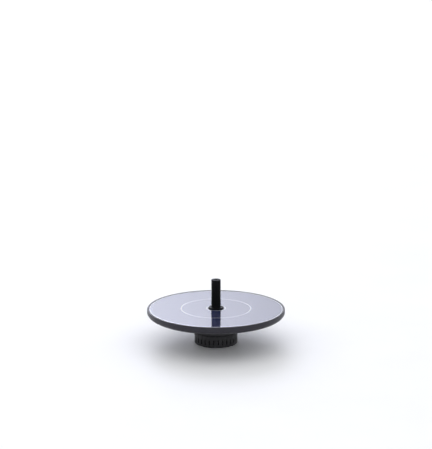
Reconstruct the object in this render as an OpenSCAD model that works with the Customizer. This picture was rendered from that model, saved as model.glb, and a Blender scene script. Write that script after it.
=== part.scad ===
// Floating solar fountain pump: a round float that carries a solar panel on top,
// a jet nozzle in the middle of it and a submersible pump underneath.
// The origin is the centre of the strainer's resting face, and +Z points up along the jet.

/* [Float] */
// Diameter of the round float
disc_d = 160; // [150:1:190]
// Thickness of the float, from its underside to the deck that carries the panel
deck_h = 9.4; // [9:0.1:14]
// Wall of the float's two shells
shell = 1.4; // [1.2:0.1:2]
// Width of the raised lip around the panel
lip_w = 2.2; // [1.8:0.1:3]
// Height of the float's upright side
side_h = 5; // [4:0.1:6]
// Radius at which the float's flat underside ends
keel_r = 60; // [54:1:66]
// Number of stiffening ribs under the float
ribs = 12; // [6:1:16]

/* [Panel] */
// Thickness of the white board under the cells
board_t = 0.8; // [0.6:0.1:1.2]
// Thickness of a solar cell
cell_t = 0.25; // [0.2:0.05:0.4]
// Thickness of the clear cover over the cells
cover_t = 0.65; // [0.5:0.05:1]
// Radius of the panel's middle hole
panel_hole_r = 8; // [7:0.1:9]
// Radius at which the inner cells begin
cells_r = 11.6; // [11:0.1:14]
// Radius of the white line between the inner and the outer cells
line_r = 40.4; // [36:0.1:44]
// Width of the white lines
line_w = 1.4; // [0.8:0.1:2]
// Gap between neighbouring cells of one ring
cell_gap = 0.3; // [0.2:0.05:0.6]
// Number of inner cells; the outer ring has three times as many, of about equal area
inner_cells = 4; // [3:1:6]

/* [Nozzle] */
// Height of the nozzle above the float
nozzle_h = 34; // [30:1:44]
// Height of the pull-off jet head at its top
head_h = 11.6; // [10:0.1:14]
// Diameter of the jet head
head_d = 10.9; // [10.7:0.1:12]
// Diameter of the riser tube at its foot
riser_d = 11.2; // [11:0.1:12]
// Diameter of the flange at the riser's foot
flange_d = 17.6; // [16.6:0.1:20]
// Diameter of the jet hole
jet_d = 3; // [2:0.1:4]

/* [Pump] */
// Diameter of the pump
pump_d = 50; // [50:1:54]
// Depth of the pump below the float
pump_h = 30; // [30:1:34]
// Number of slots around the strainer
side_slots = 30; // [18:2:36]
// Number of slots in the strainer's floor
floor_slots = 16; // [8:2:20]
// Number of impeller vanes
vanes = 6; // [4:1:8]
// Radius of the impeller
impeller_r = 11.2; // [9:0.1:11.6]

/* [Hidden] */
$fn = 96;
eps = 0.01;
disc_r = disc_d / 2;
pump_r = pump_d / 2;

// Heights of the float and the panel
keel_z = pump_h;
deck_z = keel_z + deck_h;
deck_t = 1;
board_z = deck_z;
cells_z = board_z + board_t;
cover_z = cells_z + cell_t;
cover_top = cover_z + cover_t;
lip_z = cover_top + 0.2;
side_z = lip_z - side_h;
seam_z = side_z + 0.2;
panel_r = disc_r - lip_w - 0.2;
recess_r = disc_r - lip_w;
outer_cells_r = panel_r - line_w;
sleeve_r = panel_hole_r - 0.2;
well_r = 6.6;

// Radii and heights of the pump
skirt_r = pump_r - 1.8;
strainer_r = pump_r - 1.5;
strainer_h = 14;
shoulder_z = strainer_h + 0.2;
skirt_z = 8.4;
plate_r = skirt_r - 2.3;
plate_z = 9.2;
plate_t = 1.6;
plate_top = plate_z + plate_t;
seal_r = plate_r - 0.5;
seal_w = 0.8;
seal_depth = 0.7;
chamber_z = plate_top + 0.1;
ceiling_z = 16.2;
cavity_z = ceiling_z + 1.2;
neck_r = pump_r - 4.4;
neck_wall = 1.4;
neck_top = keel_z + 2.6;
rotor_well_r = 6.7;
rotor_well_top = 29;
rotor_tube_r = 7.8;
volute_r = 16.6;
volute_x = 2.9;
duct_x = 17.2;
duct_bore_r = 2.2;
duct_r = 3.2;
eye_r = 5.6;

// Clearances: between pieces pushed together, and between the shaft and what turns on it
fit = 0.03;
running = 0.06;

// The shaft, its bushes, the wheel and the magnet
shaft_r = 1;
shaft_z = 8.9;
shaft_top = 30.6;
bush_r = 1.9;
top_bush_r = bush_r + 0.4;
top_bush_seat = 1.8;
hub_z = 7.7;
hub_floor = 0.8;
wheel_z = 11.4;
magnet_r = 6;
magnet_bore_r = 2.6;
magnet_z = 16.8;
magnet_h = 10.8;

// The stator and its electronics
core_z = 18.8;
core_h = 7.4;
yoke_r = 13.6;
tooth_w = 3.4;
stator_board_z = 27.8;
stator_board_t = 1;
potting_z = 31.3;

// The outlet elbow and its spigot
elbow_z = neck_top;
elbow_t = 1.5;
elbow_mid = 35.2;
spigot_r = 4.2;
spigot_bore_r = 2.6;
spigot_top = lip_z + 5.6;
o_ring_z = spigot_top - 2.6;

// The nozzle
riser_z = lip_z + 0.1;
head_z = lip_z + nozzle_h - head_h;
nozzle_top = lip_z + nozzle_h;
socket_gap = 0.08;
head_spigot_r = 4.2;
head_spigot_h = 5;
nozzle_bore_r = 3.1;

// Fasteners, leads and the bayonet
screw_r = 1.45;
screw_circle = 28.2;
ear_z = 27.4;
ear_r = 3.7;
lead_r = 0.7;
lead_x = -14;
lead_dy = 1.5;
grommet_r = 3.25;
lug_half = 7;
lug_first = 60;
lug_z = plate_z + 0.3;
lug_top = plate_top - 0.25;
twist = 30;

// ---------------------------------------------------------------- shared shapes

// A ring about Z with a rectangular section
module ring(z, h, r_out, r_in) {
    translate([0, 0, z]) difference() {
        cylinder(r = r_out, h = h);
        translate([0, 0, -1]) cylinder(r = r_in, h = h + 2);
    }
}

// A ring about Z with a round section
module o_ring(z, r_mid, r_section) {
    translate([0, 0, z]) rotate_extrude() translate([r_mid, 0]) circle(r = r_section, $fn = 32);
}

// A sector of a flat ring, centred on +X
module sector(z, h, r_out, r_in, angle) {
    translate([0, 0, z]) rotate([0, 0, -angle / 2])
        rotate_extrude(angle = angle) translate([r_in, 0]) square([r_out - r_in, h]);
}

// The same shape n times around Z
module around(n, first = 0) {
    for (i = [0 : n - 1]) rotate([0, 0, first + i * 360 / n]) children();
}

// Points along an arc, from angle a to angle b about a centre
function arc(cx, cy, r, a, b, n) = [for (i = [0 : n])
    let (t = a + (b - a) * i / n) [cx + r * cos(t), cy + r * sin(t)]];

// A hole for each of the two leads, or the leads themselves
module pair(r, z, h) {
    for (y = [-lead_dy, lead_dy]) translate([lead_x, y, z]) cylinder(r = r, h = h, $fn = 32);
}

// A slot that runs along +X, with round ends, cut downwards through a floor
module floor_slot(x0, x1, w, z, h) {
    translate([x0, -w / 2, z]) cube([x1 - x0, w, h]);
    for (x = [x0, x1]) translate([x, 0, z]) cylinder(d = w, h = h, $fn = 32);
}

// A slot through an upright wall at +X, with round ends
module wall_slot(r0, r1, w, z0, z1) {
    translate([r0, -w / 2, z0 + w / 2]) cube([r1 - r0, w, z1 - z0 - w]);
    for (z = [z0 + w / 2, z1 - w / 2])
        translate([r0, 0, z]) rotate([0, 90, 0]) cylinder(d = w, h = r1 - r0, $fn = 32);
}

// ---------------------------------------------------------------- strainer

// The slotted cup that the pump stands in
module intake_strainer() {
    foot_h = 0.7;
    foot_w = 5;
    foot_notch = 6;
    floor_h = 2.6;
    edge_r = 1.2;
    rim_chamfer = 0.4;
    slot_w = 1.4;
    grips = 24;
    grip = [1.05, 1.4, 3.6];
    color("#1c1d1e") difference() {
        union() {
            rotate_extrude() polygon(concat(
                [[0, foot_h], [pump_r - foot_w - 0.5, foot_h], [pump_r - foot_w, 0], [pump_r - edge_r, 0]],
                arc(pump_r - edge_r, edge_r, edge_r, -90, 0, 5),
                [[pump_r, strainer_h - rim_chamfer], [pump_r - rim_chamfer, strainer_h],
                 [strainer_r, strainer_h], [strainer_r, floor_h], [0, floor_h]]));
            around(grips, 90 / grips)
                translate([pump_r - 0.7, -grip[1] / 2, strainer_h - grip[2] - 0.8]) cube(grip);
        }
        around(side_slots) wall_slot(strainer_r - 2, pump_r + 2, slot_w, 3.4, 9);
        around(floor_slots) floor_slot(7, 17.6, slot_w, -1, floor_h + 2);
        around(4, 45) translate([pump_r - foot_w - 2, -foot_notch / 2, -1])
            cube([foot_w + 3, foot_notch, 1 + foot_h]);
        translate([0, 0, -1]) cylinder(r = 3, h = floor_h + 2);
    }
}

// ---------------------------------------------------------------- chamber cover

// The twist-lock cover of the pump chamber, with the intake eye and the lower shaft seat
module chamber_cover() {
    hub_r = 2.9;
    spoke_w = 1.8;
    grip_w = 2;
    grip_r0 = 9;
    grip_r1 = plate_r - 2.4;
    color("#232426") difference() {
        union() {
            ring(plate_z, plate_t, plate_r, eye_r);
            ring(hub_z, plate_top - hub_z, hub_r, bush_r + fit);
            translate([0, 0, hub_z]) cylinder(r = hub_r, h = hub_floor);
            around(3, 30) translate([hub_r - 0.4, -spoke_w / 2, plate_z])
                cube([eye_r - hub_r + 0.9, spoke_w, plate_t]);
            around(2, 90) translate([grip_r0, -grip_w / 2, hub_z])
                cube([grip_r1 - grip_r0, grip_w, plate_z - hub_z + 0.2]);
            around(3, lug_first) sector(lug_z, lug_top - lug_z, plate_r + 1, plate_r - 1, 2 * lug_half);
        }
        ring(plate_top - seal_depth, 1, seal_r, seal_r - seal_w);
    }
}

// The rubber ring that seals the cover against the chamber
module cover_gasket() {
    gap = 0.05;
    color("#3a3a3c")
        ring(plate_top - seal_depth + fit, seal_depth - 2 * fit, seal_r - gap, seal_r - seal_w + gap);
}

// The rubber seat of the shaft's lower end
module shaft_bush_lower() {
    seat_z = hub_z + hub_floor + fit;
    color("#46474a") difference() {
        translate([0, 0, seat_z]) cylinder(r = bush_r, h = 2);
        translate([0, 0, shaft_z - fit]) cylinder(r = shaft_r + fit, h = 3);
    }
}

// ---------------------------------------------------------------- rotor

// The open vaned wheel, with the carrier that holds the magnet
module impeller() {
    back_z = 14.5;
    back_t = 1.3;
    hub_r = 3;
    vane_z = wheel_z + 0.1;
    vane_t = 1.2;
    color("#e4e4df") difference() {
        union() {
            translate([0, 0, back_z]) cylinder(r = impeller_r, h = back_t);
            translate([0, 0, back_z]) cylinder(r = magnet_r, h = magnet_z - back_z);
            translate([0, 0, wheel_z]) cylinder(r = hub_r, h = back_z - wheel_z + 1);
            translate([0, 0, magnet_z - 0.1]) cylinder(r = magnet_bore_r - fit, h = magnet_h + 0.5);
            around(vanes) translate([hub_r - 0.4, -vane_t / 2, vane_z])
                cube([impeller_r - hub_r + 0.1, vane_t, back_z - vane_z + 0.2]);
        }
        translate([0, 0, wheel_z - 1]) cylinder(r = shaft_r + running, h = shaft_top);
    }
}

// The ring magnet that the stator turns
module rotor_magnet() {
    pole_groove_r = 0.35;
    color("#5b5d60") difference() {
        ring(magnet_z, magnet_h, magnet_r, magnet_bore_r);
        around(4, 45) translate([magnet_r, 0, magnet_z - 1])
            cylinder(r = pole_groove_r, h = magnet_h + 2, $fn = 24);
    }
}

// The polished shaft that the rotor turns on
module rotor_shaft() {
    chamfer = 0.25;
    color("#d8dade") rotate_extrude() polygon([[0, shaft_z], [shaft_r - chamfer, shaft_z],
        [shaft_r, shaft_z + chamfer], [shaft_r, shaft_top - chamfer],
        [shaft_r - chamfer, shaft_top], [0, shaft_top]]);
}

// The rubber seat of the shaft's upper end
module shaft_bush_upper() {
    color("#46474a") difference() {
        translate([0, 0, rotor_well_top]) cylinder(r = top_bush_r, h = top_bush_seat - 0.1);
        translate([0, 0, rotor_well_top - 1])
            cylinder(r = shaft_r + fit, h = shaft_top + fit - rotor_well_top + 1);
    }
}

// The ceramic washers above and below the rotor
module thrust_washers() {
    washer_t = 0.5;
    washer_r = 2.3;
    color("#f1efe8") for (z = [wheel_z - washer_t - 0.05, rotor_well_top - washer_t - 0.2])
        ring(z, washer_t, washer_r, shaft_r + running);
}

// ---------------------------------------------------------------- motor housing

// One bayonet slot: an entry from below, and a groove that the lug turns into
module bayonet_slot() {
    margin = 1;
    entry = 2 * (lug_half + margin);
    groove_z = lug_z - 0.1;
    entry_top = lug_top + 0.1;
    groove_top = lug_top + 0.2;
    groove_r = plate_r + 1.25;
    rotate([0, 0, -twist]) sector(skirt_z - 1, entry_top - skirt_z + 1, groove_r + 0.1, plate_r - 0.5, entry);
    rotate([0, 0, (entry / 2 - twist) / 2])
        sector(groove_z, groove_top - groove_z, groove_r, plate_r - 0.5, twist + entry / 2);
}

// The tube that carries the water past the stator
module duct_tube(r, z0, z1) {
    translate([duct_x, 0, z0]) cylinder(r = r, h = z1 - z0);
}

// The pump's body: volute, rotor well, stator cavity and water duct in one moulding
module motor_housing() {
    wall = 1.8;
    edge_r = 0.6;
    cavity_r = neck_r - neck_wall;
    color("#1f2022") difference() {
        union() {
            translate([0, 0, skirt_z]) cylinder(r = skirt_r, h = keel_z - skirt_z);
            rotate_extrude() polygon(concat([[0, shoulder_z], [pump_r - edge_r, shoulder_z]],
                arc(pump_r - edge_r, shoulder_z + edge_r, edge_r, -90, 0, 4),
                [[pump_r, keel_z], [0, keel_z]]));
            translate([0, 0, keel_z - 1]) cylinder(r = neck_r, h = neck_top - keel_z + 1);
            around(3, 90) translate([screw_circle, 0, ear_z]) cylinder(r = ear_r, h = keel_z - ear_z);
            around(3, 90) translate([pump_r - 3, -ear_r, ear_z])
                cube([screw_circle - pump_r + 3, 2 * ear_r, keel_z - ear_z]);
        }
        difference() {
            union() {
                translate([0, 0, cavity_z]) cylinder(r = pump_r - wall, h = keel_z - wall - cavity_z);
                translate([0, 0, cavity_z]) cylinder(r = cavity_r, h = keel_z);
            }
            translate([0, 0, cavity_z - 1]) cylinder(r = rotor_tube_r, h = neck_top - cavity_z + 1);
            duct_tube(duct_r, cavity_z - 1, neck_top);
        }
        translate([0, 0, chamber_z - eps]) cylinder(r = rotor_well_r, h = rotor_well_top - chamber_z + eps);
        translate([0, 0, rotor_well_top - 1]) cylinder(r = top_bush_r + fit, h = top_bush_seat + 1);
        translate([volute_x, 0, chamber_z - eps]) cylinder(r = volute_r, h = ceiling_z - chamber_z + eps);
        duct_tube(duct_bore_r, chamber_z, neck_top + 1);
        translate([0, 0, skirt_z - 1]) cylinder(r = plate_r + 0.2, h = chamber_z - skirt_z + 1);
        around(3, lug_first) bayonet_slot();
        ring(keel_z - seal_depth, 1, pump_r - 0.6, neck_r + 0.6);
        around(3, 90) translate([screw_circle, 0, ear_z - 1])
            cylinder(r = screw_r + 0.2, h = keel_z - ear_z + 2);
    }
}

// ---------------------------------------------------------------- stator and electronics

// The laminated core with four teeth
module stator_core() {
    shoe_r = 8;
    shoe_gap = 1.3;
    window_r = 9.2;
    yoke_t = 2;
    color("#8d8f92") translate([0, 0, core_z]) linear_extrude(core_h) difference() {
        circle(r = yoke_r);
        circle(r = shoe_r);
        difference() {
            circle(r = yoke_r - yoke_t);
            circle(r = window_r);
            for (a = [0, 90]) rotate(a) square([2 * yoke_r, tooth_w], center = true);
        }
        for (a = [45, 135]) rotate(a) square([2 * window_r + 0.2, shoe_gap], center = true);
    }
}

// The four windings, one around each tooth
module stator_coils() {
    coil_x = 9.5;
    coil = [1.5, 6.6, core_h + 2.2];
    hole = [coil[0] + 2, tooth_w + 0.4, core_h + 0.4];
    color("#b87333") around(4) translate([coil_x + coil[0] / 2, 0, core_z + core_h / 2]) difference() {
        cube(coil, center = true);
        cube(hole, center = true);
    }
}

// The round driver board above the stator
module driver_board() {
    color("#1e5a3a") difference() {
        ring(stator_board_z, stator_board_t, neck_r - neck_wall - 0.6, rotor_tube_r + 0.5);
        duct_tube(duct_r + 0.4, stator_board_z - 1, stator_board_z + 3);
    }
}

// The parts on the board: driver chip, position sensor, two capacitors and a diode
module board_parts() {
    z = stator_board_z + stator_board_t;
    boxes = [[[-3, 10.5], [6, 4.4, 1.5]], [[-2, -12], [4, 3, 1.2]], [[8.5, -12], [3.6, 2.2, 1.3]]];
    cans = [[[9.5, 9.5], 2.1, 2.2], [[-9.5, 11], 1.7, 2]];
    color("#2b2b2d") for (b = boxes) translate([b[0][0], b[0][1], z]) cube(b[1]);
    color("#b9bbbe") for (c = cans) translate([c[0][0], c[0][1], z]) cylinder(r = c[1], h = c[2], $fn = 48);
}

// The resin that seals the motor cavity
module potting_seal() {
    color("#2a2622") difference() {
        ring(potting_z, neck_top - potting_z - 0.1, neck_r - neck_wall - fit, rotor_tube_r + fit);
        duct_tube(duct_r + fit, potting_z - 1, neck_top + 1);
        pair(lead_r + fit, potting_z - 1, 4);
    }
}

// ---------------------------------------------------------------- outlet

// The cap over the motor, with the elbow that brings the water to the middle
module outlet_elbow() {
    tube_r = 3;
    boss_r = 5.2;
    boss_top = deck_z - deck_t - 0.2;
    o_ring_groove = 1.2;
    color("#26272a") difference() {
        union() {
            translate([0, 0, elbow_z]) cylinder(r = neck_r, h = elbow_t);
            intersection() {
                translate([0, 0, elbow_z]) cylinder(r = neck_r, h = 2 * tube_r + elbow_mid - elbow_z);
                union() {
                    translate([0, 0, elbow_mid]) rotate([0, 90, 0]) cylinder(r = tube_r, h = duct_x);
                    translate([duct_x, 0, elbow_mid]) sphere(r = tube_r);
                    translate([duct_x, 0, elbow_z]) cylinder(r = tube_r, h = elbow_mid - elbow_z);
                }
            }
            translate([0, 0, elbow_z]) cylinder(r = boss_r, h = boss_top - elbow_z);
            translate([0, 0, elbow_z]) cylinder(r = spigot_r, h = spigot_top - elbow_z);
        }
        duct_tube(duct_bore_r, elbow_z - 1, elbow_mid);
        translate([duct_x, 0, elbow_mid]) sphere(r = duct_bore_r);
        translate([0, 0, elbow_mid]) rotate([0, 90, 0]) cylinder(r = duct_bore_r, h = duct_x);
        translate([0, 0, elbow_mid]) cylinder(r = spigot_bore_r, h = spigot_top);
        translate([0, 0, elbow_mid]) sphere(r = duct_bore_r);
        ring(o_ring_z - o_ring_groove / 2, o_ring_groove, spigot_r + 1, spigot_r - 1.05);
        translate([lead_x, 0, elbow_z - 1]) cylinder(r = grommet_r + fit, h = elbow_t + 2);
    }
}

// The rubber ring on the spigot
module spigot_o_ring() {
    section_r = 0.54;
    color("#37383a") o_ring(o_ring_z, spigot_r - 0.5, section_r);
}

// The flat rubber ring between the pump and the float
module flange_gasket() {
    color("#3a3a3c") ring(keel_z - seal_depth + fit, seal_depth - fit, pump_r - 0.7, neck_r + 0.7);
}

// The three screws that hold the pump to the float
module mount_screws() {
    head_r = 2.8;
    head_t = 1.6;
    shank_h = 8.1;
    tip_h = 1.2;
    tip_r = 0.5;
    cross = [3, 0.6, 1.9];
    color("#c3c5c8") around(3, 90) translate([screw_circle, 0, ear_z]) difference() {
        union() {
            rotate_extrude() polygon([[0, -head_t], [head_r - 0.9, -head_t], [head_r - 0.2, -head_t + 0.5],
                [head_r, -head_t + 1], [head_r, 0], [0, 0]]);
            translate([0, 0, -0.1]) cylinder(r = screw_r, h = shank_h + 0.1);
            translate([0, 0, shank_h]) cylinder(r1 = screw_r, r2 = tip_r, h = tip_h);
        }
        for (a = [0, 90]) rotate([0, 0, a])
            translate([-cross[0] / 2, -cross[1] / 2, -head_t - 1]) cube(cross);
    }
}

// ---------------------------------------------------------------- leads

// The rubber grommet that seals the leads into the motor
module lead_grommet() {
    collar_z = elbow_z + elbow_t + 0.02;
    collar_h = 1.4;
    color("#3f4043") difference() {
        union() {
            translate([lead_x, 0, elbow_z - 0.05]) cylinder(r = grommet_r, h = elbow_t + 0.1);
            translate([lead_x, 0, collar_z])
                cylinder(r1 = grommet_r + 0.95, r2 = grommet_r - 0.05, h = collar_h);
        }
        pair(lead_r + fit, elbow_z - 1, 6);
    }
}

// The two short leads from the panel to the driver board
module panel_leads() {
    bottom = stator_board_z + stator_board_t;
    color("#a03030") pair(lead_r, bottom, board_z - bottom);
}

// ---------------------------------------------------------------- float

// The lower shell's side curves from the seam down to the flat keel. r_edge is the curve's radius
// at the seam, and floor_z the height that it comes down to.
function side_curve(r_edge, floor_z) = [for (i = [0 : 8]) let (t = 90 * i / 8)
    [keel_r + (r_edge - keel_r) * cos(t), side_z - (side_z - floor_z) * sin(t)]];

// The lower shell of the float
module float_base() {
    boss_r = 3.2;
    boss_z = keel_z + 0.5;
    boss_top = deck_z - deck_t - 0.1;
    pilot_h = 8;
    opening_r = neck_r + 0.2;
    collar_top = keel_z + 3.4;
    rib_r0 = 34;
    rib = [keel_r - rib_r0 - 2, 1.4, 1.2];
    rib_depth = 0.8;
    tongue_r = disc_r - 2;
    tongue_z = seam_z + 1.6;
    outer = side_curve(disc_r - 0.6, keel_z);
    inner = side_curve(tongue_r - shell, keel_z + shell);
    color("#1d1e21") difference() {
        union() {
            rotate_extrude() polygon(concat([[opening_r, keel_z]], [for (i = [8 : -1 : 0]) outer[i]],
                [[tongue_r, side_z], [tongue_r, tongue_z], [tongue_r - shell, tongue_z]], inner,
                [[opening_r + shell, keel_z + shell], [opening_r + shell, collar_top],
                 [opening_r, collar_top]]));
            around(3, 90) translate([screw_circle, 0, boss_z]) cylinder(r = boss_r, h = boss_top - boss_z);
            around(ribs, 15) translate([rib_r0, -rib[1] / 2, keel_z - rib_depth]) cube(rib);
        }
        around(3, 90) translate([screw_circle, 0, keel_z - 1]) cylinder(r = screw_r + 0.05, h = pilot_h);
    }
}

// The closed-cell foam ring inside the float
module float_foam() {
    gap = 0.4;
    inner_r = 33;
    outer_r = disc_r - 6.5;
    low = keel_z + shell + gap;
    high = deck_z - deck_t - gap;
    color("#e9e6dc") rotate_extrude() polygon([[inner_r, low], [keel_r - 1, low],
        [outer_r - 2.5, side_z - 1.6], [outer_r, side_z + 0.6], [outer_r, high], [inner_r, high]]);
}

// The upper shell: a deck for the panel inside a rounded lip
module float_top() {
    lip_r = 1;
    chamfer = 0.5;
    inside_r = disc_r - 1.8;
    underside = deck_z - deck_t;
    sleeve_top = lip_z - 0.1;
    color("#17181a") difference() {
        rotate_extrude() polygon(concat(
            [[well_r, underside], [inside_r, underside], [inside_r, seam_z], [disc_r, seam_z]],
            arc(disc_r - lip_r, lip_z - lip_r, lip_r, 0, 90, 6),
            [[recess_r + chamfer, lip_z], [recess_r, lip_z - chamfer], [recess_r, deck_z], [sleeve_r, deck_z],
             [sleeve_r, sleeve_top], [well_r, sleeve_top]]));
        pair(lead_r + 0.1, underside - 1, deck_t + 2);
    }
}

// ---------------------------------------------------------------- panel

// Where two neighbouring cells of a ring meet: angle and middle radius of each joint
tab_places = concat(
    [for (i = [0 : inner_cells - 1]) [i * 360 / inner_cells, (cells_r + line_r) / 2]],
    [for (i = [0 : 3 * inner_cells - 1]) [(i + 0.5) * 120 / inner_cells, (line_r + outer_cells_r) / 2]]);

// The tabs' size along the radius, across it and upwards
tab = [9, 3, 0.12];

// The white board that carries the cells
module backsheet() {
    color("#eef0f2") difference() {
        ring(board_z, board_t, panel_r, panel_hole_r);
        for (p = tab_places) rotate([0, 0, p[0]])
            translate([p[1] - tab[0] / 2, -tab[1] / 2, cells_z - tab[2]]) cube([tab[0], tab[1], 1]);
    }
}

// The silver tabs that join the cells in series, under their edges
module cell_tabs() {
    color("#cfd3d8") for (p = tab_places) rotate([0, 0, p[0]])
        translate([p[1] - tab[0] / 2 + 0.05, -tab[1] / 2 + 0.05, cells_z - tab[2]])
            cube([tab[0] - 0.1, tab[1] - 0.1, tab[2]]);
}

// A ring of cells: a flat ring cut by straight gaps
module cell_ring(n, r_in, r_out, first) {
    difference() {
        ring(cells_z, cell_t, r_out, r_in);
        around(n, first) translate([r_in - 2, -cell_gap / 2, cells_z - 1])
            cube([r_out - r_in + 4, cell_gap, 3]);
    }
}

module solar_cells_inner() {
    color("#23264a") cell_ring(inner_cells, cells_r, line_r - line_w / 2, 0);
}

module solar_cells_outer() {
    color("#23264a") cell_ring(3 * inner_cells, line_r + line_w / 2, outer_cells_r, 60 / inner_cells);
}

// The clear resin cover over the cells
module clear_cover() {
    edge = 0.3;
    color("#c8d0e8", 0.35) rotate_extrude() polygon([[panel_hole_r, cover_z], [panel_r, cover_z],
        [panel_r, cover_top - edge], [panel_r - edge, cover_top], [panel_hole_r, cover_top]]);
}

// ---------------------------------------------------------------- nozzle

// The riser tube with its foot flange, pushed onto the pump's spigot
module nozzle_riser() {
    foot_r = riser_d / 2;
    neck = head_d / 2 - 0.25;
    flange_t = 1.1;
    edge_r = flange_t / 2;
    shoulder = head_z - 0.1;
    socket_h = spigot_top - riser_z + 0.3;
    color("#0c0d0e") difference() {
        union() {
            rotate_extrude() polygon(concat([[0, riser_z]],
                arc(flange_d / 2 - edge_r, riser_z + edge_r, edge_r, -90, 90, 8),
                [[foot_r + 0.5, riser_z + flange_t], [foot_r + 0.15, riser_z + flange_t + 0.15],
                 [foot_r, riser_z + flange_t + 0.5], [neck, shoulder], [0, shoulder]]));
            translate([0, 0, head_z - 1]) cylinder(r = head_spigot_r, h = 1 + head_spigot_h);
        }
        translate([0, 0, riser_z - 1]) cylinder(r = spigot_r + socket_gap, h = socket_h + 1);
        translate([0, 0, riser_z]) cylinder(r = nozzle_bore_r, h = nozzle_h);
    }
}

// The pull-off jet head
module nozzle_head() {
    r = head_d / 2;
    chamfer = 0.5;
    throat_z = head_z + head_spigot_h + 1;
    throat_h = 3;
    color("#0c0d0e") difference() {
        rotate_extrude() polygon([[0, head_z], [r, head_z], [r, nozzle_top - chamfer],
            [r - chamfer, nozzle_top], [0, nozzle_top]]);
        translate([0, 0, head_z - 1]) cylinder(r = head_spigot_r + socket_gap, h = head_spigot_h + 1.3);
        translate([0, 0, head_z]) cylinder(r = nozzle_bore_r, h = throat_z - head_z + eps);
        translate([0, 0, throat_z]) cylinder(r1 = nozzle_bore_r, r2 = jet_d / 2, h = throat_h);
        translate([0, 0, throat_z]) cylinder(d = jet_d, h = head_h);
    }
}

intake_strainer();
chamber_cover();
cover_gasket();
shaft_bush_lower();
impeller();
rotor_magnet();
rotor_shaft();
shaft_bush_upper();
thrust_washers();
motor_housing();
stator_core();
stator_coils();
driver_board();
board_parts();
potting_seal();
outlet_elbow();
spigot_o_ring();
flange_gasket();
mount_screws();
lead_grommet();
panel_leads();
float_base();
float_foam();
float_top();
backsheet();
cell_tabs();
solar_cells_inner();
solar_cells_outer();
clear_cover();
nozzle_riser();
nozzle_head();
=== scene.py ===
"""Looks of the floating solar fountain pump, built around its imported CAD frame.

Every length is in metres and in the frame's own axes: +Z up along the jet, the origin under the nozzle
on the surface that the pump stands on.
"""

import math

import bmesh
import bpy
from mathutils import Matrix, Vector


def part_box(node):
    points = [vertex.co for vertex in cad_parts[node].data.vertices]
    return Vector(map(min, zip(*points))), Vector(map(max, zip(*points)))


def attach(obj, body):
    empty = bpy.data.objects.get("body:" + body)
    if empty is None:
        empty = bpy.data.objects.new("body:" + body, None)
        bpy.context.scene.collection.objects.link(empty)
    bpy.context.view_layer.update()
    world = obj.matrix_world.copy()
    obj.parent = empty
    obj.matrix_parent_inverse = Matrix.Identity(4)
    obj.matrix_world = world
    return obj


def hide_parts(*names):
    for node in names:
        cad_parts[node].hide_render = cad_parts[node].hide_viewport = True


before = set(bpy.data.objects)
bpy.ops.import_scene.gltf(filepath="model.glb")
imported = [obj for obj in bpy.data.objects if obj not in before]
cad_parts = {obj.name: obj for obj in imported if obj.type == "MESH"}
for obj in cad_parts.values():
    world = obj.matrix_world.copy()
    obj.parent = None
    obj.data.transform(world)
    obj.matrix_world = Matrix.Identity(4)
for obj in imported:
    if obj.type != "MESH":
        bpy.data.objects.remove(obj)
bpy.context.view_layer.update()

MM = 0.001
CRISP = math.radians(35)  # edges that bend by more than this stay sharp

# ---------------------------------------------------------------- places and sizes from the frame

RIM_LOW, RIM_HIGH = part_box("float_top")
HULL_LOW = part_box("float_base")[0]
COVER_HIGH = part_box("clear_cover")[1]
BOARD_LOW, BOARD_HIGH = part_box("backsheet")
CELLS_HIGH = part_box("solar_cells_outer")[1]
RISER_LOW, RISER_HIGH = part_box("nozzle_riser")
HEAD_LOW, HEAD_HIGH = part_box("nozzle_head")

DISC_R = RIM_HIGH.x
PANEL_R = COVER_HIGH.x
CELLS_R = CELLS_HIGH.x

# Radii that the boxes don't give
WELL_R = 6.6 * MM
SLEEVE_R = 7.8 * MM
PANEL_HOLE_R = 8.0 * MM
INNER_CELLS_R = 11.6 * MM
LINE_R = 40.4 * MM
KEEL_R = 60 * MM
OPENING_R = 20.8 * MM
SOCKET_R = 4.28 * MM
BORE_R = 3.1 * MM
SPIGOT_R = 4.2 * MM
JET_R = 1.5 * MM
RIB_DEPTH = 0.8 * MM
KEEL_Z = HULL_LOW.z + RIB_DEPTH

# ---------------------------------------------------------------- mesh helpers


def add_object(name, mesh, body, material, replaced=None):
    """Puts a mesh into the scene as a piece that rides on a body and may stand for a CAD node."""
    piece = bpy.data.objects.new(name, mesh)
    bpy.context.scene.collection.objects.link(piece)
    mesh.materials.append(material)
    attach(piece, body)
    if replaced:
        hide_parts(replaced)
    return piece


def rounded(corners, steps=5):
    """A closed outline of (r, z) points from corners (r, z, radius), each turned into an arc."""
    outline = []
    for i, (r, z, radius) in enumerate(corners):
        corner = Vector((r, z))
        before = Vector(corners[i - 1][:2]) - corner
        after = Vector(corners[(i + 1) % len(corners)][:2]) - corner
        half = before.angle(after) / 2
        reach = min(radius / math.tan(half), 0.49 * before.length, 0.49 * after.length)
        if not reach:
            outline.append(corner)
            continue
        centre = corner + (before.normalized() + after.normalized()).normalized() * (reach / math.cos(half))
        spoke = corner + before.normalized() * reach - centre
        last = corner + after.normalized() * reach - centre
        sweep = spoke.angle_signed(last)
        for k in range(steps + 1):
            turn = -sweep * k / steps
            outline.append(centre + Vector((
                spoke.x * math.cos(turn) - spoke.y * math.sin(turn),
                spoke.x * math.sin(turn) + spoke.y * math.cos(turn))))
    return outline


def divided(outline, step):
    """The same closed outline, with points added so that none of its lines is longer than step."""
    points = []
    for i, start in enumerate(outline):
        end = outline[(i + 1) % len(outline)]
        parts = max(1, math.ceil((end - start).length / step))
        points += [start.lerp(end, k / parts) for k in range(parts)]
    return points


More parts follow.
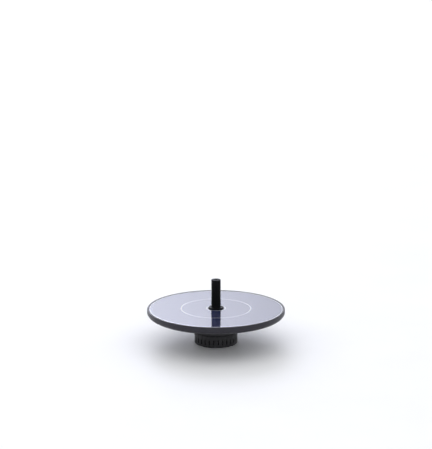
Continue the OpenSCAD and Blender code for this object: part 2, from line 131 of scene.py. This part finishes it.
def lathe(name, outline, segments=192):
    """A closed ring of revolution about Z with smooth faces and crisp corners."""
    bm = bmesh.new()
    rings = []
    for i in range(segments):
        angle = 2 * math.pi * i / segments
        rings.append([bm.verts.new((p.x * math.cos(angle), p.x * math.sin(angle), p.y)) for p in outline])
    count = len(outline)
    for i, ring in enumerate(rings):
        following = rings[(i + 1) % segments]
        for k in range(count):
            j = (k + 1) % count
            bm.faces.new((ring[k], following[k], following[j], ring[j]))
    bmesh.ops.recalc_face_normals(bm, faces=bm.faces)
    return finished_mesh(name, bm)


def finished_mesh(name, bm):
    """Turns a bmesh into a smooth mesh with crisp corners, free of any normals it brought along."""
    mesh = bpy.data.meshes.new(name)
    for face in bm.faces:
        face.smooth = True
    bm.to_mesh(mesh)
    bm.free()
    for attribute in ("custom_normal", "sharp_face"):
        if attribute in mesh.attributes:
            mesh.attributes.remove(mesh.attributes[attribute])
    mesh.set_sharp_from_angle(angle=CRISP)
    return mesh


def refined(name, node, body, material, width):
    """A CAD node's own shape with its seams welded, its flat faces joined and its sharp edges rounded."""
    bm = bmesh.new()
    bm.from_mesh(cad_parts[node].data)
    bmesh.ops.remove_doubles(bm, verts=bm.verts, dist=1e-6)
    bmesh.ops.dissolve_limit(bm, angle_limit=math.radians(0.4), verts=bm.verts, edges=bm.edges)
    piece = add_object(name, finished_mesh(name, bm), body, material, node)
    bevel = piece.modifiers.new("rounded edges", "BEVEL")
    bevel.width = width
    bevel.segments = 2
    bevel.limit_method = "ANGLE"
    bevel.angle_limit = CRISP
    piece.modifiers.new("even shading", "WEIGHTED_NORMAL").keep_sharp = True


# ---------------------------------------------------------------- material helpers


class Surface:
    """A Principled material with short ways to add and join its nodes."""

    def __init__(self, name, colour, roughness, **sockets):
        self.material = bpy.data.materials.new(name)
        self.material.use_nodes = True
        self.tree = self.material.node_tree
        self.shader = self.tree.nodes["Principled BSDF"]
        self.set("Base Color", (*colour, 1))
        self.set("Roughness", roughness)
        for socket, value in sockets.items():
            self.set(socket.replace("_", " "), value)
        self.place = self.node("TexCoord").outputs["Object"]

    def set(self, socket, value):
        self.shader.inputs[socket].default_value = value

    def node(self, kind, **settings):
        made = self.tree.nodes.new("ShaderNode" + kind)
        for key, value in settings.items():
            setattr(made, key, value)
        return made

    def join(self, output, target):
        self.tree.links.new(output, target)

    def feed(self, output, socket):
        self.join(output, self.shader.inputs[socket])

    def math(self, operation, a, b=0.0):
        """A Math node; each operand is an output or a number."""
        made = self.node("Math", operation=operation)
        for socket, operand in zip(made.inputs, (a, b)):
            if isinstance(operand, (int, float)):
                socket.default_value = operand
            else:
                self.join(operand, socket)
        return made.outputs[0]

    def noise(self, size, detail=4.0, stretch=(1, 1, 1), distortion=0.0):
        """Noise whose features are about that size, in metres."""
        scaled = self.node("Mapping")
        scaled.inputs["Scale"].default_value = [s / size for s in stretch]
        self.join(self.place, scaled.inputs["Vector"])
        made = self.node("TexNoise")
        made.inputs["Scale"].default_value = 1.0
        made.inputs["Detail"].default_value = detail
        made.inputs["Roughness"].default_value = 0.55
        made.inputs["Distortion"].default_value = distortion
        self.join(scaled.outputs[0], made.inputs["Vector"])
        return made.outputs["Fac"]

    def cells(self, size, feature="F1", randomness=1.0):
        """Voronoi cells about that size across, in metres."""
        scaled = self.node("Mapping")
        scaled.inputs["Scale"].default_value = [1 / size] * 3
        self.join(self.place, scaled.inputs["Vector"])
        made = self.node("TexVoronoi", feature=feature)
        made.inputs["Scale"].default_value = 1.0
        made.inputs["Randomness"].default_value = randomness
        self.join(scaled.outputs[0], made.inputs["Vector"])
        return made

    def spread(self, value, low, high, start=0.0, end=1.0):
        """Maps start..end of a value to low..high."""
        made = self.node("MapRange")
        for socket, number in (("From Min", start), ("From Max", end), ("To Min", low), ("To Max", high)):
            made.inputs[socket].default_value = number
        self.join(value, made.inputs["Value"])
        return made.outputs["Result"]

    def ramp(self, value, *stops):
        """A colour ramp through (position, colour) stops."""
        made = self.node("ValToRGB")
        elements = made.color_ramp.elements
        while len(elements) < len(stops):
            elements.new(0.5)
        for element, (position, colour) in zip(elements, stops):
            element.position = position
            element.color = (*colour, 1)
        self.join(value, made.inputs["Fac"])
        return made.outputs["Color"]

    def mix(self, share, a, b):
        """Colour a where share is 0, b where it is 1; a and b are outputs or colours."""
        made = self.node("Mix", data_type="RGBA")
        self.join(share, made.inputs["Factor"])
        colours = [socket for socket in made.inputs if socket.type == "RGBA"]
        for socket, operand in zip(colours, (a, b)):
            if isinstance(operand, tuple):
                socket.default_value = (*operand, 1)
            else:
                self.join(operand, socket)
        return next(output for output in made.outputs if output.type == "RGBA")

    def bump(self, *layers):
        """Bumps from (height output, depth in metres) layers, one on top of the other."""
        normal = None
        for height, depth in layers:
            made = self.node("Bump")
            made.inputs["Strength"].default_value = 1.0
            made.inputs["Distance"].default_value = depth
            self.join(height, made.inputs["Height"])
            if normal:
                self.join(normal, made.inputs["Normal"])
            normal = made.outputs["Normal"]
        self.feed(normal, "Normal")

    def axes(self):
        """The three coordinates of the surface point."""
        split = self.node("SeparateXYZ")
        self.join(self.place, split.inputs[0])
        return split.outputs

    def radius(self):
        """Distance from the Z axis."""
        x, y, _ = self.axes()
        return self.math("SQRT", self.math("ADD", self.math("MULTIPLY", x, x), self.math("MULTIPLY", y, y)))

    def between(self, value, low, high):
        """1 where low < value < high, and 0 elsewhere."""
        above = self.math("GREATER_THAN", value, low)
        return self.math("MULTIPLY", above, self.math("LESS_THAN", value, high))

    def worn_edges(self, width):
        """1 on sharp edges and 0 on flat faces, broken up by noise."""
        bevel = self.node("Bevel", samples=4)
        bevel.inputs["Radius"].default_value = width
        geometry = self.node("NewGeometry")
        dot = self.node("VectorMath", operation="DOT_PRODUCT")
        self.join(bevel.outputs[0], dot.inputs[0])
        self.join(geometry.outputs["Normal"], dot.inputs[1])
        edge = self.spread(dot.outputs["Value"], 1.0, 0.0, 0.72, 0.99)
        return self.math("MULTIPLY", edge, self.spread(self.noise(3 * MM), 0.0, 1.0, 0.35, 0.7))


# ---------------------------------------------------------------- materials


def moulded_plastic(name, colour, light, roughness, grain, depth):
    """Injection-moulded plastic: fine grain, cloudy gloss, a little dust and paler rubbed edges."""
    s = Surface(name, colour, roughness, Specular_IOR_Level=0.4)
    cloud = s.noise(18 * MM, detail=5)
    tone = s.ramp(cloud, (0.3, colour), (0.75, light))
    rubbed = tuple(min(1, 2.2 * c + 0.03) for c in light)
    s.feed(s.mix(s.math("MULTIPLY", s.worn_edges(0.25 * MM), 0.5), tone, rubbed), "Base Color")
    s.feed(s.spread(s.noise(5 * MM, detail=6), roughness - 0.08, roughness + 0.1, 0.3, 0.7), "Roughness")
    s.bump((s.cells(grain, "SMOOTH_F1").outputs["Distance"], depth), (s.noise(9 * MM, detail=2), 0.02 * MM))
    return s.material


def nozzle_plastic():
    """Smooth black plastic with faint draw lines along the tube."""
    s = Surface("nozzle_plastic", (0.003, 0.003, 0.0035), 0.42, Specular_IOR_Level=0.09)
    tone = s.noise(4 * MM)
    s.feed(s.ramp(tone, (0.3, (0.002, 0.002, 0.0025)), (0.8, (0.005, 0.005, 0.0055))), "Base Color")
    lines = s.noise(0.5 * MM, detail=2, stretch=(1, 1, 0.03))
    s.feed(s.spread(lines, 0.38, 0.54, 0.3, 0.7), "Roughness")
    s.bump((lines, 0.006 * MM), (s.noise(0.35 * MM, detail=1), 0.004 * MM))
    return s.material


def clear_resin():
    """Poured clear resin: a hard gloss with a very slight swell and fine hairline scratches."""
    s = Surface("clear_resin", (0.94, 0.955, 1.0), 0.04, Transmission_Weight=1.0, IOR=1.5)
    swell = s.noise(16 * MM, detail=2)
    hairlines = s.noise(1.2 * MM, detail=3, stretch=(0.06, 1, 1), distortion=0.4)
    haze = s.spread(s.noise(22 * MM, detail=6), 0.02, 0.09, 0.35, 0.75)
    scratched = s.spread(hairlines, 0.0, 0.06, 0.68, 0.78)
    s.feed(s.math("ADD", haze, scratched), "Roughness")
    s.bump((swell, 0.035 * MM), (hairlines, 0.0008 * MM))
    return s.material


def solar_cell():
    """Dark blue silicon with a crystal sheen and fine silver fingers across each cell."""
    finger_pitch = 1.5 * MM
    finger_share = 0.05
    s = Surface("solar_cell", (0.046, 0.055, 0.14), 0.28, Specular_IOR_Level=0.15)
    grains = s.cells(2.6 * MM)
    tone = s.ramp(grains.outputs["Color"], (0.1, (0.041, 0.05, 0.13)), (0.9, (0.051, 0.06, 0.15)))
    cloud = s.noise(30 * MM, detail=3)
    tone = s.mix(s.spread(cloud, 0.0, 0.5, 0.35, 0.7), tone, (0.052, 0.057, 0.138))
    _, y, _ = s.axes()
    comb = s.math("FRACT", s.math("DIVIDE", y, finger_pitch))
    finger = s.math("LESS_THAN", comb, finger_share)
    s.feed(s.mix(finger, tone, (0.12, 0.125, 0.16)), "Base Color")
    s.feed(s.spread(finger, 0.3, 0.4), "Roughness")
    s.bump((finger, 0.01 * MM), (s.noise(0.4 * MM, detail=2), 0.002 * MM))
    return s.material


def printed_board():
    """A dark masked board with printed white rings between the cells and at the rim, and a white ring round
    the nozzle foot that is a painted highlight.
    """
    s = Surface("white_board", (0.8, 0.82, 0.84), 0.45)
    r = s.radius()
    under_cells = 0.05 * MM
    half_line = 0.7 * MM + under_cells
    # The white ring round the nozzle foot is a painted highlight for the glint of water round the foot, not
    # print.
    foot_highlight_width = 1.2 * MM
    painted_foot_highlight = s.between(r, INNER_CELLS_R - foot_highlight_width, INNER_CELLS_R + under_cells)
    line = s.between(r, LINE_R - half_line, LINE_R + half_line)
    border = s.math("GREATER_THAN", r, CELLS_R - under_cells)
    white = s.math("MAXIMUM", painted_foot_highlight, s.math("MAXIMUM", line, border))
    # One white serves both the printed rings and the painted highlight round the foot.
    print_and_highlight_white = s.ramp(s.noise(6 * MM, detail=5), (0.3, (0.82, 0.84, 0.87)), (0.7, (0.9, 0.91, 0.92)))
    s.feed(s.mix(white, (0.02, 0.022, 0.045), print_and_highlight_white), "Base Color")
    s.bump((s.noise(0.6 * MM, detail=3), 0.01 * MM))
    return s.material


def rubber():
    """Matt black rubber with fine talc in its pores."""
    s = Surface("rubber", (0.03, 0.03, 0.032), 0.75, Specular_IOR_Level=0.35)
    talc = s.noise(1.5 * MM, detail=6)
    s.feed(s.ramp(talc, (0.4, (0.024, 0.024, 0.026)), (0.85, (0.07, 0.07, 0.068))), "Base Color")
    s.feed(s.spread(s.noise(4 * MM), 0.66, 0.85, 0.3, 0.7), "Roughness")
    s.bump((s.noise(0.3 * MM, detail=3), 0.02 * MM))
    return s.material


def lead_jacket():
    """Insulation of the two leads: one red, one black."""
    s = Surface("lead", (0.35, 0.03, 0.03), 0.4)
    _, y, _ = s.axes()
    s.feed(s.mix(s.math("GREATER_THAN", y, 0.0), (0.33, 0.025, 0.02), (0.02, 0.02, 0.02)), "Base Color")
    s.feed(s.spread(s.noise(2 * MM), 0.32, 0.5, 0.3, 0.7), "Roughness")
    s.bump((s.noise(0.4 * MM), 0.01 * MM))
    return s.material


def turned_metal(name, colour, dark, roughness, stretch):
    """Metal with brushing or turning marks, stretched along the given axes."""
    s = Surface(name, colour, roughness, Metallic=1.0)
    marks = s.noise(0.12 * MM, detail=3, stretch=stretch)
    s.feed(s.ramp(marks, (0.3, dark), (0.7, colour)), "Base Color")
    s.feed(s.spread(s.noise(2.5 * MM, detail=5), roughness - 0.06, roughness + 0.12, 0.3, 0.7), "Roughness")
    s.bump((marks, 0.004 * MM))
    return s.material


def laminated_steel():
    """Stacked steel sheets, seen as fine level lines."""
    sheet_thickness = 0.5 * MM
    gap_share = 0.14
    s = Surface("lamination", (0.3, 0.31, 0.32), 0.42, Metallic=1.0)
    _, _, z = s.axes()
    layer = s.math("FRACT", s.math("DIVIDE", z, sheet_thickness))
    gap = s.math("LESS_THAN", layer, gap_share)
    steel = s.ramp(s.noise(1.5 * MM, detail=5), (0.3, (0.22, 0.225, 0.23)), (0.75, (0.4, 0.4, 0.41)))
    s.feed(s.mix(gap, steel, (0.05, 0.045, 0.04)), "Base Color")
    s.bump((s.spread(gap, 1.0, 0.0), 0.05 * MM))
    return s.material


def wound_copper():
    """Varnished copper wire, wound in neat turns, with painted shade in the valleys between them."""
    wire = 0.24 * MM
    s = Surface("copper", (0.72, 0.3, 0.13), 0.28, Metallic=1.0, Coat_Weight=0.6, Coat_Roughness=0.12)
    _, _, z = s.axes()
    turn = s.math("FRACT", s.math("DIVIDE", z, wire))
    crown = s.math("SINE", s.math("MULTIPLY", turn, math.pi))
    # Painted shade: each turn is painted bright on its crown and dark in the valleys on either side.
    s.feed(s.ramp(crown, (0.1, (0.2, 0.06, 0.02)), (0.6, (0.74, 0.31, 0.13))), "Base Color")
    s.feed(s.spread(s.noise(2 * MM), 0.2, 0.36, 0.3, 0.7), "Roughness")
    s.bump((crown, 0.08 * MM))
    return s.material


def ferrite():
    """Sintered ferrite with a fine grey grain."""
    s = Surface("magnet", (0.09, 0.092, 0.1), 0.5, Specular_IOR_Level=0.6)
    grain = s.noise(0.35 * MM, detail=6)
    s.feed(s.ramp(grain, (0.35, (0.05, 0.052, 0.056)), (0.7, (0.16, 0.162, 0.17))), "Base Color")
    s.feed(s.spread(s.noise(3 * MM), 0.4, 0.6, 0.3, 0.7), "Roughness")
    s.bump((s.noise(0.2 * MM, detail=3), 0.012 * MM))
    return s.material


def circuit_board():
    """Green solder mask over fine copper tracks."""
    track_share = 0.09
    s = Surface("circuit_board", (0.02, 0.14, 0.06), 0.32, Coat_Weight=0.4, Coat_Roughness=0.15)
    tracks = s.cells(2.2 * MM, "DISTANCE_TO_EDGE", 0.4).outputs["Distance"]
    track = s.math("LESS_THAN", tracks, track_share)
    mask = s.ramp(s.noise(5 * MM), (0.3, (0.014, 0.11, 0.045)), (0.7, (0.024, 0.16, 0.068)))
    s.feed(s.mix(track, mask, (0.06, 0.26, 0.1)), "Base Color")
    s.bump((track, 0.03 * MM))
    return s.material


def chip_epoxy():
    """Moulded black epoxy with a fine filler grain."""
    s = Surface("chip", (0.03, 0.03, 0.032), 0.4)
    grain = s.noise(0.6 * MM, detail=5)
    s.feed(s.ramp(grain, (0.35, (0.022, 0.022, 0.024)), (0.75, (0.05, 0.05, 0.052))), "Base Color")
    s.feed(s.spread(s.noise(1.5 * MM), 0.3, 0.52, 0.3, 0.7), "Roughness")
    s.bump((s.noise(0.15 * MM, detail=2), 0.01 * MM))
    return s.material


def potting_resin():
    """Poured dark epoxy, glossy and gently wavy, with small bubbles."""
    s = Surface("potting", (0.02, 0.016, 0.013), 0.12, Coat_Weight=0.5)
    bubbles = s.cells(2.4 * MM).outputs["Distance"]
    s.feed(s.ramp(s.noise(7 * MM), (0.3, (0.015, 0.012, 0.01)), (0.75, (0.034, 0.026, 0.02))), "Base Color")
    s.feed(s.spread(s.noise(4 * MM), 0.08, 0.2, 0.3, 0.7), "Roughness")
    s.bump((s.noise(5 * MM), 0.15 * MM), (s.spread(bubbles, 1.0, 0.0, 0.0, 0.12), 0.03 * MM))
    return s.material


def closed_foam():
    """Closed-cell foam with small open pores on its cut faces, each painted darker towards its bottom as
    painted shade.
    """
    s = Surface("foam", (0.82, 0.8, 0.72), 0.9)
    pores = s.cells(1.1 * MM).outputs["Distance"]
    # Painted shade: each pore is painted darker towards its bottom.
    s.feed(s.ramp(pores, (0.0, (0.55, 0.52, 0.45)), (0.5, (0.86, 0.84, 0.77))), "Base Color")
    s.feed(s.spread(pores, 0.8, 0.95), "Roughness")
    s.bump((pores, 0.3 * MM))
    return s.material


def fine_ceramic():
    """Ground ceramic, almost white, with a faint speckle."""
    s = Surface("ceramic", (0.86, 0.84, 0.78), 0.3)
    speckle = s.noise(0.25 * MM, detail=4)
    s.feed(s.ramp(speckle, (0.3, (0.76, 0.74, 0.68)), (0.6, (0.88, 0.86, 0.81))), "Base Color")
    s.feed(s.spread(s.noise(1 * MM), 0.24, 0.4, 0.3, 0.7), "Roughness")
    s.bump((s.noise(0.2 * MM), 0.003 * MM))
    return s.material


def impeller_plastic():
    """White engineering plastic that lets a little light in."""
    s = Surface("impeller_plastic", (0.75, 0.75, 0.71), 0.36,
                Subsurface_Weight=0.12, Subsurface_Scale=2 * MM)
    cloud = s.noise(4 * MM, detail=4)
    s.feed(s.ramp(cloud, (0.3, (0.7, 0.7, 0.65)), (0.7, (0.79, 0.79, 0.75))), "Base Color")
    s.feed(s.spread(s.noise(2 * MM), 0.3, 0.46, 0.3, 0.7), "Roughness")
    s.bump((s.noise(0.3 * MM, detail=2), 0.006 * MM))
    return s.material


def studio_floor():
    """A pale matt floor with barely visible mottling."""
    s = Surface("studio_floor", (0.9, 0.9, 0.895), 0.65)
    mottling = s.noise(120 * MM, detail=3)
    s.feed(s.ramp(mottling, (0.3, (0.89, 0.89, 0.885)), (0.7, (0.91, 0.91, 0.905))), "Base Color")
    return s.material


# ---------------------------------------------------------------- pieces


def float_rim(material):
    """The upper shell: deck, upright side and the rounded lip round the panel."""
    deck = BOARD_LOW.z
    deck_bottom = deck - 1 * MM
    recess = PANEL_R + 0.2 * MM
    inside = DISC_R - 1.8 * MM
    draft = 0.08 * MM
    top = RIM_HIGH.z
    sleeve_top = top - 0.1 * MM
    outline = rounded([
        (WELL_R, deck_bottom, 0),
        (inside, deck_bottom, 0.2 * MM),
        (inside, RIM_LOW.z, 0.1 * MM),
        (DISC_R, RIM_LOW.z, 0.3 * MM),
        (DISC_R - draft, top, 1.0 * MM),
        (recess, top, 0.45 * MM),
        (recess, deck, 0.1 * MM),
        (SLEEVE_R, deck, 0.1 * MM),
        (SLEEVE_R, sleeve_top, 0.2 * MM),
        (WELL_R, sleeve_top, 0.2 * MM)])
    add_object("float_rim", lathe("float_rim", outline, 256),
               "unit", material, "float_top")


def float_hull(material):
    """The lower shell: a flat keel that curves up to the seam, with moulded ribs under it."""
    wall = 1.4 * MM
    edge_r = DISC_R - 0.6 * MM
    edge_z = RIM_LOW.z - 0.2 * MM
    tongue_r = DISC_R - 2 * MM
    tongue_top = edge_z + 1.8 * MM
    collar_top = KEEL_Z + 3.4 * MM
    curve_steps = 18

    def side(radius, floor, k):
        angle = math.pi / 2 * k / curve_steps
        r = KEEL_R + (radius - KEEL_R) * math.cos(angle)
        return Vector((r, edge_z - (edge_z - floor) * math.sin(angle)))

    outer = [side(edge_r, KEEL_Z, k) for k in range(curve_steps, -1, -1)]
    inner = [side(tongue_r - wall, KEEL_Z + wall, k) for k in range(curve_steps + 1)]
    tongue = [Vector((tongue_r, edge_z)), Vector((tongue_r, tongue_top)),
              Vector((tongue_r - wall, tongue_top))]
    collar = [Vector((OPENING_R + wall, KEEL_Z + wall)), Vector((OPENING_R + wall, collar_top)),
              Vector((OPENING_R, collar_top)), Vector((OPENING_R, KEEL_Z))]
    add_object("float_hull", lathe("float_hull", outer + tongue + inner + collar, 256),
               "unit", material, "float_base")
    ribs = add_object("keel_ribs", keel_ribs(), "unit", material)
    rounding = ribs.modifiers.new("rounded edges", "BEVEL")
    rounding.width = 0.3 * MM
    rounding.segments = 3


def keel_ribs():
    """Twelve low ribs under the float, each tapering into the hull at both ends."""
    count = 12
    first = math.radians(15)
    start, end, half = 34 * MM, 58 * MM, 0.7 * MM
    ramp = 1.6 * MM
    root = KEEL_Z + 0.3 * MM
    profile = [(start, root), (start + ramp, HULL_LOW.z), (end - ramp, HULL_LOW.z), (end, root)]
    bm = bmesh.new()
    for i in range(count):
        angle = first + 2 * math.pi * i / count
        along = Vector((math.cos(angle), math.sin(angle), 0))
        across = Vector((-math.sin(angle), math.cos(angle), 0))
        corners = []
        for side in (-half, half):
            for r, z in profile:
                corners.append(bm.verts.new(along * r + across * side + Vector((0, 0, z))))
        sides = len(profile)
        left, right = corners[:sides], corners[sides:]
        bm.faces.new(left)
        bm.faces.new(right[::-1])
        for k in range(sides):
            j = (k + 1) % sides
            bm.faces.new((left[k], left[j], right[j], right[k]))
    bmesh.ops.recalc_face_normals(bm, faces=bm.faces)
    return finished_mesh("keel_ribs", bm)


def panel_resin(material):
    """The clear resin, poured over the cells and between them down to the board."""
    into_board = 0.05 * MM
    low, top = BOARD_HIGH.z - into_board, COVER_HIGH.z
    outline = rounded([
        (PANEL_HOLE_R, low, 0),
        (PANEL_R, low, 0),
        (PANEL_R, top, 0.3 * MM),
        (PANEL_HOLE_R, top, 0.12 * MM)])
    add_object("panel_resin", lathe("panel_resin", divided(outline, 4 * MM), 256),
               "unit", material, "clear_cover")


def riser_tube(material):
    """The riser: a foot flange that fillets into a slightly tapered tube, with a spigot for the jet head."""
    foot = RISER_LOW.z
    flange_top = foot + 1.1 * MM
    socket_top = foot + 5.8 * MM
    shoulder = HEAD_LOW.z - 0.1 * MM
    tube_foot_r, tube_top_r = 5.6 * MM, 5.2 * MM
    outline = rounded([
        (SOCKET_R, foot, 0.15 * MM),
        (RISER_HIGH.x, foot, 0.5 * MM),
        (RISER_HIGH.x, flange_top, 0.5 * MM),
        (tube_foot_r, flange_top, 0.5 * MM),
        (tube_top_r, shoulder, 0.2 * MM),
        (SPIGOT_R, shoulder, 0.1 * MM),
        (SPIGOT_R, RISER_HIGH.z, 0.3 * MM),
        (BORE_R, RISER_HIGH.z, 0.15 * MM),
        (BORE_R, socket_top, 0.2 * MM),
        (SOCKET_R, socket_top, 0.1 * MM)])
    add_object("riser_tube", lathe("riser_tube", divided(outline, 2 * MM), 96),
               "riser", material, "nozzle_riser")


def jet_head(material):
    """The pull-off jet head: a short cap whose bore narrows to the jet hole."""
    low, top = HEAD_LOW.z, HEAD_HIGH.z
    outer = HEAD_HIGH.x
    dish_r, dish_floor_r = 3.6 * MM, 3.3 * MM
    dish_floor = top - 0.4 * MM
    jet_bottom = top - 2.6 * MM
    bore_top = top - 5.6 * MM
    socket_top = top - 6.3 * MM
    outline = rounded([
        (SOCKET_R, low, 0.1 * MM),
        (outer, low, 0.2 * MM),
        (outer, top, 0.5 * MM),
        (dish_r, top, 0.15 * MM),
        (dish_floor_r, dish_floor, 0.15 * MM),
        (JET_R, dish_floor, 0.15 * MM),
        (JET_R, jet_bottom, 0.3 * MM),
        (BORE_R, bore_top, 0.3 * MM),
        (BORE_R, socket_top, 0.05 * MM),
        (SOCKET_R, socket_top, 0.05 * MM)])
    add_object("jet_head", lathe("jet_head", divided(outline, 2 * MM), 96),
               "head", material, "nozzle_head")


# ---------------------------------------------------------------- stage


def make_camera():
    """The camera looks down at a low angle and aims above the panel, which then sits low in the view."""
    elevation = math.radians(15.9)
    distance = 1.495
    aim_above = math.radians(3.72)
    pitch = elevation - aim_above
    camera = bpy.data.objects.new("camera", bpy.data.cameras.new("camera"))
    bpy.context.scene.collection.objects.link(camera)
    camera.location = (0, -distance * math.cos(elevation), COVER_HIGH.z + distance * math.sin(elevation))
    camera.rotation_euler = (math.pi / 2 - pitch, 0, 0)
    camera.data.lens = 103
    camera.data.clip_start = 0.05
    camera.data.clip_end = 60
    bpy.context.scene.camera = camera


def make_floor():
    """A wide pale floor under the strainer."""
    reach = 25
    bm = bmesh.new()
    bmesh.ops.create_grid(bm, x_segments=8, y_segments=8, size=reach)
    floor = bpy.data.objects.new("floor", finished_mesh("floor", bm))
    bpy.context.scene.collection.objects.link(floor)
    floor.data.materials.append(studio_floor())


def direction(azimuth, elevation):
    """A unit vector towards an azimuth, from +Y round to +X, and an elevation, both in degrees."""
    a, e = math.radians(azimuth), math.radians(elevation)
    return Vector((math.sin(a) * math.cos(e), math.cos(a) * math.cos(e), math.sin(e)))


def make_world():
    """An even pale studio with one broad soft glow, low behind the panel, that its gloss reflects."""
    even, even_strength = (0.95, 0.965, 1.0), 0.85
    glow, glow_strength = (0.8, 0.82, 0.98), 6.1
    glow_azimuth, glow_elevation = -9, 29
    glow_width = math.radians(10)
    world = bpy.data.worlds.new("studio")
    bpy.context.scene.world = world
    world.use_nodes = True
    tree = world.node_tree
    background = tree.nodes["Background"]
    background.inputs["Color"].default_value = (*even, 1)
    background.inputs["Strength"].default_value = even_strength

    def math_node(operation, a, b):
        made = tree.nodes.new("ShaderNodeMath")
        made.operation = operation
        tree.links.new(a, made.inputs[0])
        made.inputs[1].default_value = b
        return made.outputs[0]

    dot = tree.nodes.new("ShaderNodeVectorMath")
    dot.operation = "DOT_PRODUCT"
    tree.links.new(tree.nodes.new("ShaderNodeTexCoord").outputs["Generated"], dot.inputs[0])
    dot.inputs[1].default_value = direction(glow_azimuth, glow_elevation)
    fall = math_node("MULTIPLY", math_node("SUBTRACT", dot.outputs["Value"], 1.0), 1 / glow_width ** 2)
    power = tree.nodes.new("ShaderNodeMath")
    power.operation = "EXPONENT"
    tree.links.new(fall, power.inputs[0])
    lobe = tree.nodes.new("ShaderNodeBackground")
    lobe.inputs["Color"].default_value = (*glow, 1)
    tree.links.new(math_node("MULTIPLY", power.outputs[0], glow_strength), lobe.inputs["Strength"])
    both = tree.nodes.new("ShaderNodeAddShader")
    tree.links.new(background.outputs[0], both.inputs[0])
    tree.links.new(lobe.outputs[0], both.inputs[1])
    tree.links.new(both.outputs[0], tree.nodes["World Output"].inputs["Surface"])


def make_sun():
    """A very soft sun from above, a little to the left and behind, that shows in no reflection."""
    sun = bpy.data.objects.new("sun", bpy.data.lights.new("sun", "SUN"))
    bpy.context.scene.collection.objects.link(sun)
    sun.data.energy = 0.4
    sun.data.angle = math.radians(110)
    sun.data.color = (1.0, 0.98, 0.95)
    sun.rotation_euler = (math.radians(-24), math.radians(-22), 0)
    sun.visible_glossy = False


# ---------------------------------------------------------------- build

make_camera()
make_floor()
make_world()
make_sun()
bpy.context.scene.view_settings.view_transform = "Standard"

FLOAT_PLASTIC = moulded_plastic("float_plastic", (0.011, 0.01, 0.017), (0.02, 0.019, 0.028),
                                0.4, 0.5 * MM, 0.012 * MM)
PUMP_PLASTIC = moulded_plastic("pump_plastic", (0.014, 0.014, 0.016), (0.026, 0.026, 0.028),
                               0.46, 0.4 * MM, 0.014 * MM)
NOZZLE_PLASTIC = nozzle_plastic()
STAINLESS = turned_metal("stainless_steel", (0.66, 0.67, 0.69), (0.5, 0.51, 0.53), 0.26, (1, 1, 0.08))

float_rim(FLOAT_PLASTIC)
float_hull(FLOAT_PLASTIC)
panel_resin(clear_resin())
riser_tube(NOZZLE_PLASTIC)
jet_head(NOZZLE_PLASTIC)
refined("pump_body", "motor_housing", "unit", PUMP_PLASTIC, 0.2 * MM)
refined("strainer_cup", "intake_strainer", "strainer", PUMP_PLASTIC, 0.15 * MM)
refined("cover_disc", "chamber_cover", "cover", PUMP_PLASTIC, 0.12 * MM)
refined("float_screws", "mount_screws", "unit", STAINLESS, 0.06 * MM)

# The CAD nodes that stay as they are, with the finish of each
kept_nodes = {
    PUMP_PLASTIC: ["outlet_elbow"],
    rubber(): ["cover_gasket", "shaft_bush_lower", "shaft_bush_upper", "spigot_o_ring", "flange_gasket",
               "lead_grommet"],
    impeller_plastic(): ["impeller"],
    ferrite(): ["rotor_magnet"],
    STAINLESS: ["rotor_shaft"],
    fine_ceramic(): ["thrust_washers"],
    laminated_steel(): ["stator_core"],
    wound_copper(): ["stator_coils"],
    circuit_board(): ["driver_board"],
    chip_epoxy(): ["board_parts"],
    potting_resin(): ["potting_seal"],
    lead_jacket(): ["panel_leads"],
    closed_foam(): ["float_foam"],
    printed_board(): ["backsheet"],
    turned_metal("silver_tab", (0.2, 0.205, 0.215), (0.13, 0.135, 0.14), 0.5, (0.1, 1, 1)): ["cell_tabs"],
    solar_cell(): ["solar_cells_inner", "solar_cells_outer"],
}
for finish, names in kept_nodes.items():
    for name in names:
        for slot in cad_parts[name].material_slots:
            slot.material = finish
